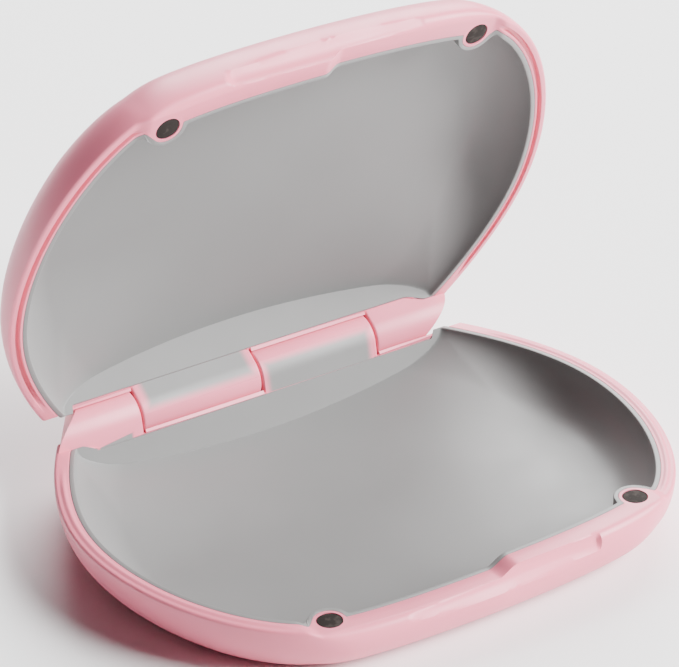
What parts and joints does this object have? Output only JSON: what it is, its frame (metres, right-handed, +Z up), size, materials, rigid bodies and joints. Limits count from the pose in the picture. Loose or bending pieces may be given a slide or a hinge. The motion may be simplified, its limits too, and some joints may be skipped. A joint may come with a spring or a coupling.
{
  "type": "hinged mouthguard case",
  "caption": "Slim oval two-tone case that opens on a pin hinge, with a dished liner in each half and small magnets that hold it shut.",
  "frame": {"origin": "centre of the base's flat underside", "axes": "+X along the hinge, to the right as seen from the front; -Y towards the thumb scoop at the front; +Z up"},
  "size_m": [0.1004, 0.0815, 0.0802],
  "materials": {
    "pink_plastic": "satin moulded plastic",
    "grey_liner": "soft matte moulded liner",
    "steel_pin": "ground steel",
    "coated_magnet": "dark coated disc"
  },
  "bodies": {
    "base": {"base_shell": "pink_plastic", "base_liner": "grey_liner", "hinge_pin": "steel_pin", "base_magnet_left": "coated_magnet", "base_magnet_right": "coated_magnet"},
    "lid": {"lid_shell": "pink_plastic", "lid_liner": "grey_liner", "lid_magnet_left": "coated_magnet", "lid_magnet_right": "coated_magnet"}
  },
  "joints": [
    {"name": "lid_hinge", "type": "hinge", "parent": "base", "child": "lid", "pos_m": [0, 0.035, 0.0101], "axis": [-1, 0, 0], "range_deg": [-69.3, 110.7]}
  ]
}
